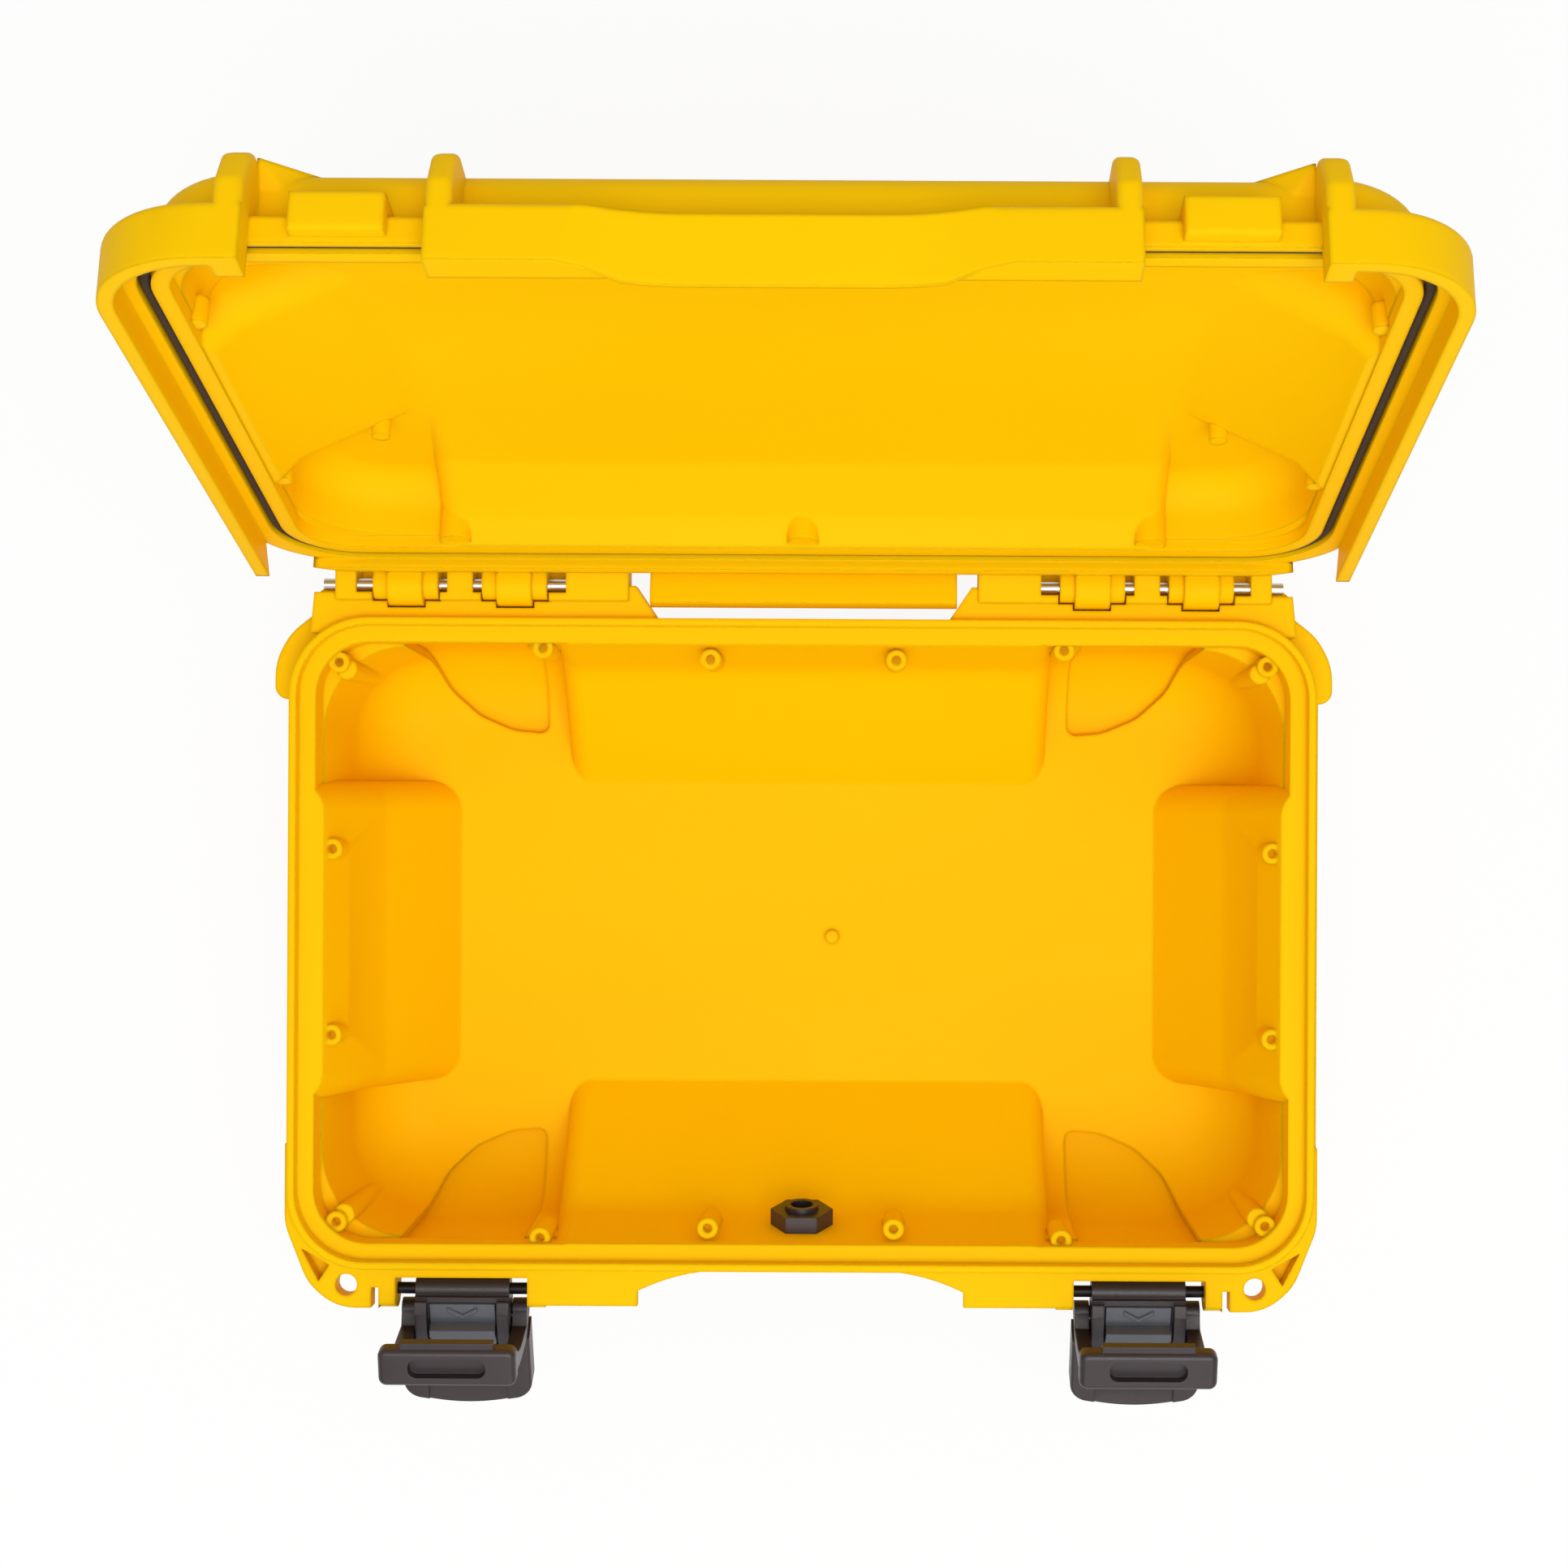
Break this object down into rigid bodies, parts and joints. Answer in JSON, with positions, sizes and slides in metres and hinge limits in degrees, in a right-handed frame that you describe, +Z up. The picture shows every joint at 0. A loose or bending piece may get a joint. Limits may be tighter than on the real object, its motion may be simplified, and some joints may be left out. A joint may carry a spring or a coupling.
{
  "type": "protective hard case",
  "caption": "Hinged yellow resin protective case, shown open, with gasketed lid, over-centre latches with slide locks, folding front handle and pressure valve",
  "frame": {"origin": "centre of the pad under the middle of the base floor, level with the feet", "axes": "+Z up, +X to the right seen from the latch side, +Y to the rear, towards the hinge"},
  "size_m": [0.3204, 0.3343, 0.2805],
  "materials": {
    "yellow_resin": "satin moulded",
    "black_resin": "fine moulded texture",
    "grey_resin": "satin moulded",
    "pin_steel": "drawn bar",
    "spring_steel": "plain wire",
    "seal_rubber": "matte",
    "grip_rubber": "soft touch",
    "vent_film": "porous film"
  },
  "bodies": {
    "base": {"base_shell": "yellow_resin", "left_hinge_pin": "pin_steel", "right_hinge_pin": "pin_steel", "left_lever_pin": "pin_steel", "right_lever_pin": "pin_steel", "handle_pin_left": "pin_steel", "handle_pin_right": "pin_steel", "valve_body": "black_resin", "valve_membrane": "vent_film", "valve_seal": "seal_rubber", "valve_nut": "black_resin"},
    "lid": {"lid_shell": "yellow_resin", "lid_gasket": "seal_rubber"},
    "handle": {"handle_frame": "black_resin", "handle_grip": "grip_rubber"},
    "left_lever": {"left_latch_lever": "black_resin", "left_claw_pin": "pin_steel"},
    "left_claw": {"left_latch_claw": "black_resin"},
    "left_slide": {"left_slide_lock": "grey_resin", "left_lock_spring": "spring_steel"},
    "right_lever": {"right_latch_lever": "black_resin", "right_claw_pin": "pin_steel"},
    "right_claw": {"right_latch_claw": "black_resin"},
    "right_slide": {"right_slide_lock": "grey_resin", "right_lock_spring": "spring_steel"}
  },
  "joints": [
    {"name": "lid_hinge", "type": "hinge", "parent": "base", "child": "lid", "pos_m": [0, 0.1066, 0.075], "axis": [1, 0, 0], "range_deg": [0, 106.5]},
    {"name": "handle_hinge", "type": "hinge", "parent": "base", "child": "handle", "pos_m": [0, -0.0965, 0.058], "axis": [-1, 0, 0], "range_deg": [0, 90]},
    {"name": "left_lever_hinge", "type": "hinge", "parent": "base", "child": "left_lever", "pos_m": [-0.1015, -0.1045, 0.066], "axis": [1, 0, 0], "range_deg": [0, 65]},
    {"name": "left_claw_hinge", "type": "hinge", "parent": "left_lever", "child": "left_claw", "pos_m": [-0.1015, -0.11133, 0.06171], "axis": [1, 0, 0], "range_deg": [-80.2, 0]},
    {"name": "left_slide_press", "type": "slide", "parent": "left_lever", "child": "left_slide", "axis": [0, -0.9063, -0.4226], "range_m": [0, 0.003], "stiffness_N_per_m": 300},
    {"name": "right_lever_hinge", "type": "hinge", "parent": "base", "child": "right_lever", "pos_m": [0.1015, -0.1045, 0.066], "axis": [1, 0, 0], "range_deg": [0, 65]},
    {"name": "right_claw_hinge", "type": "hinge", "parent": "right_lever", "child": "right_claw", "pos_m": [0.1015, -0.11133, 0.06171], "axis": [1, 0, 0], "range_deg": [-80.2, 0]},
    {"name": "right_slide_press", "type": "slide", "parent": "right_lever", "child": "right_slide", "axis": [0, -0.9063, -0.4226], "range_m": [0, 0.003], "stiffness_N_per_m": 300}
  ],
  "couplings": [
    {"joint": "left_claw_hinge", "follows": "left_lever_hinge", "ratio": -1.2338},
    {"joint": "right_claw_hinge", "follows": "right_lever_hinge", "ratio": -1.2338}
  ]
}
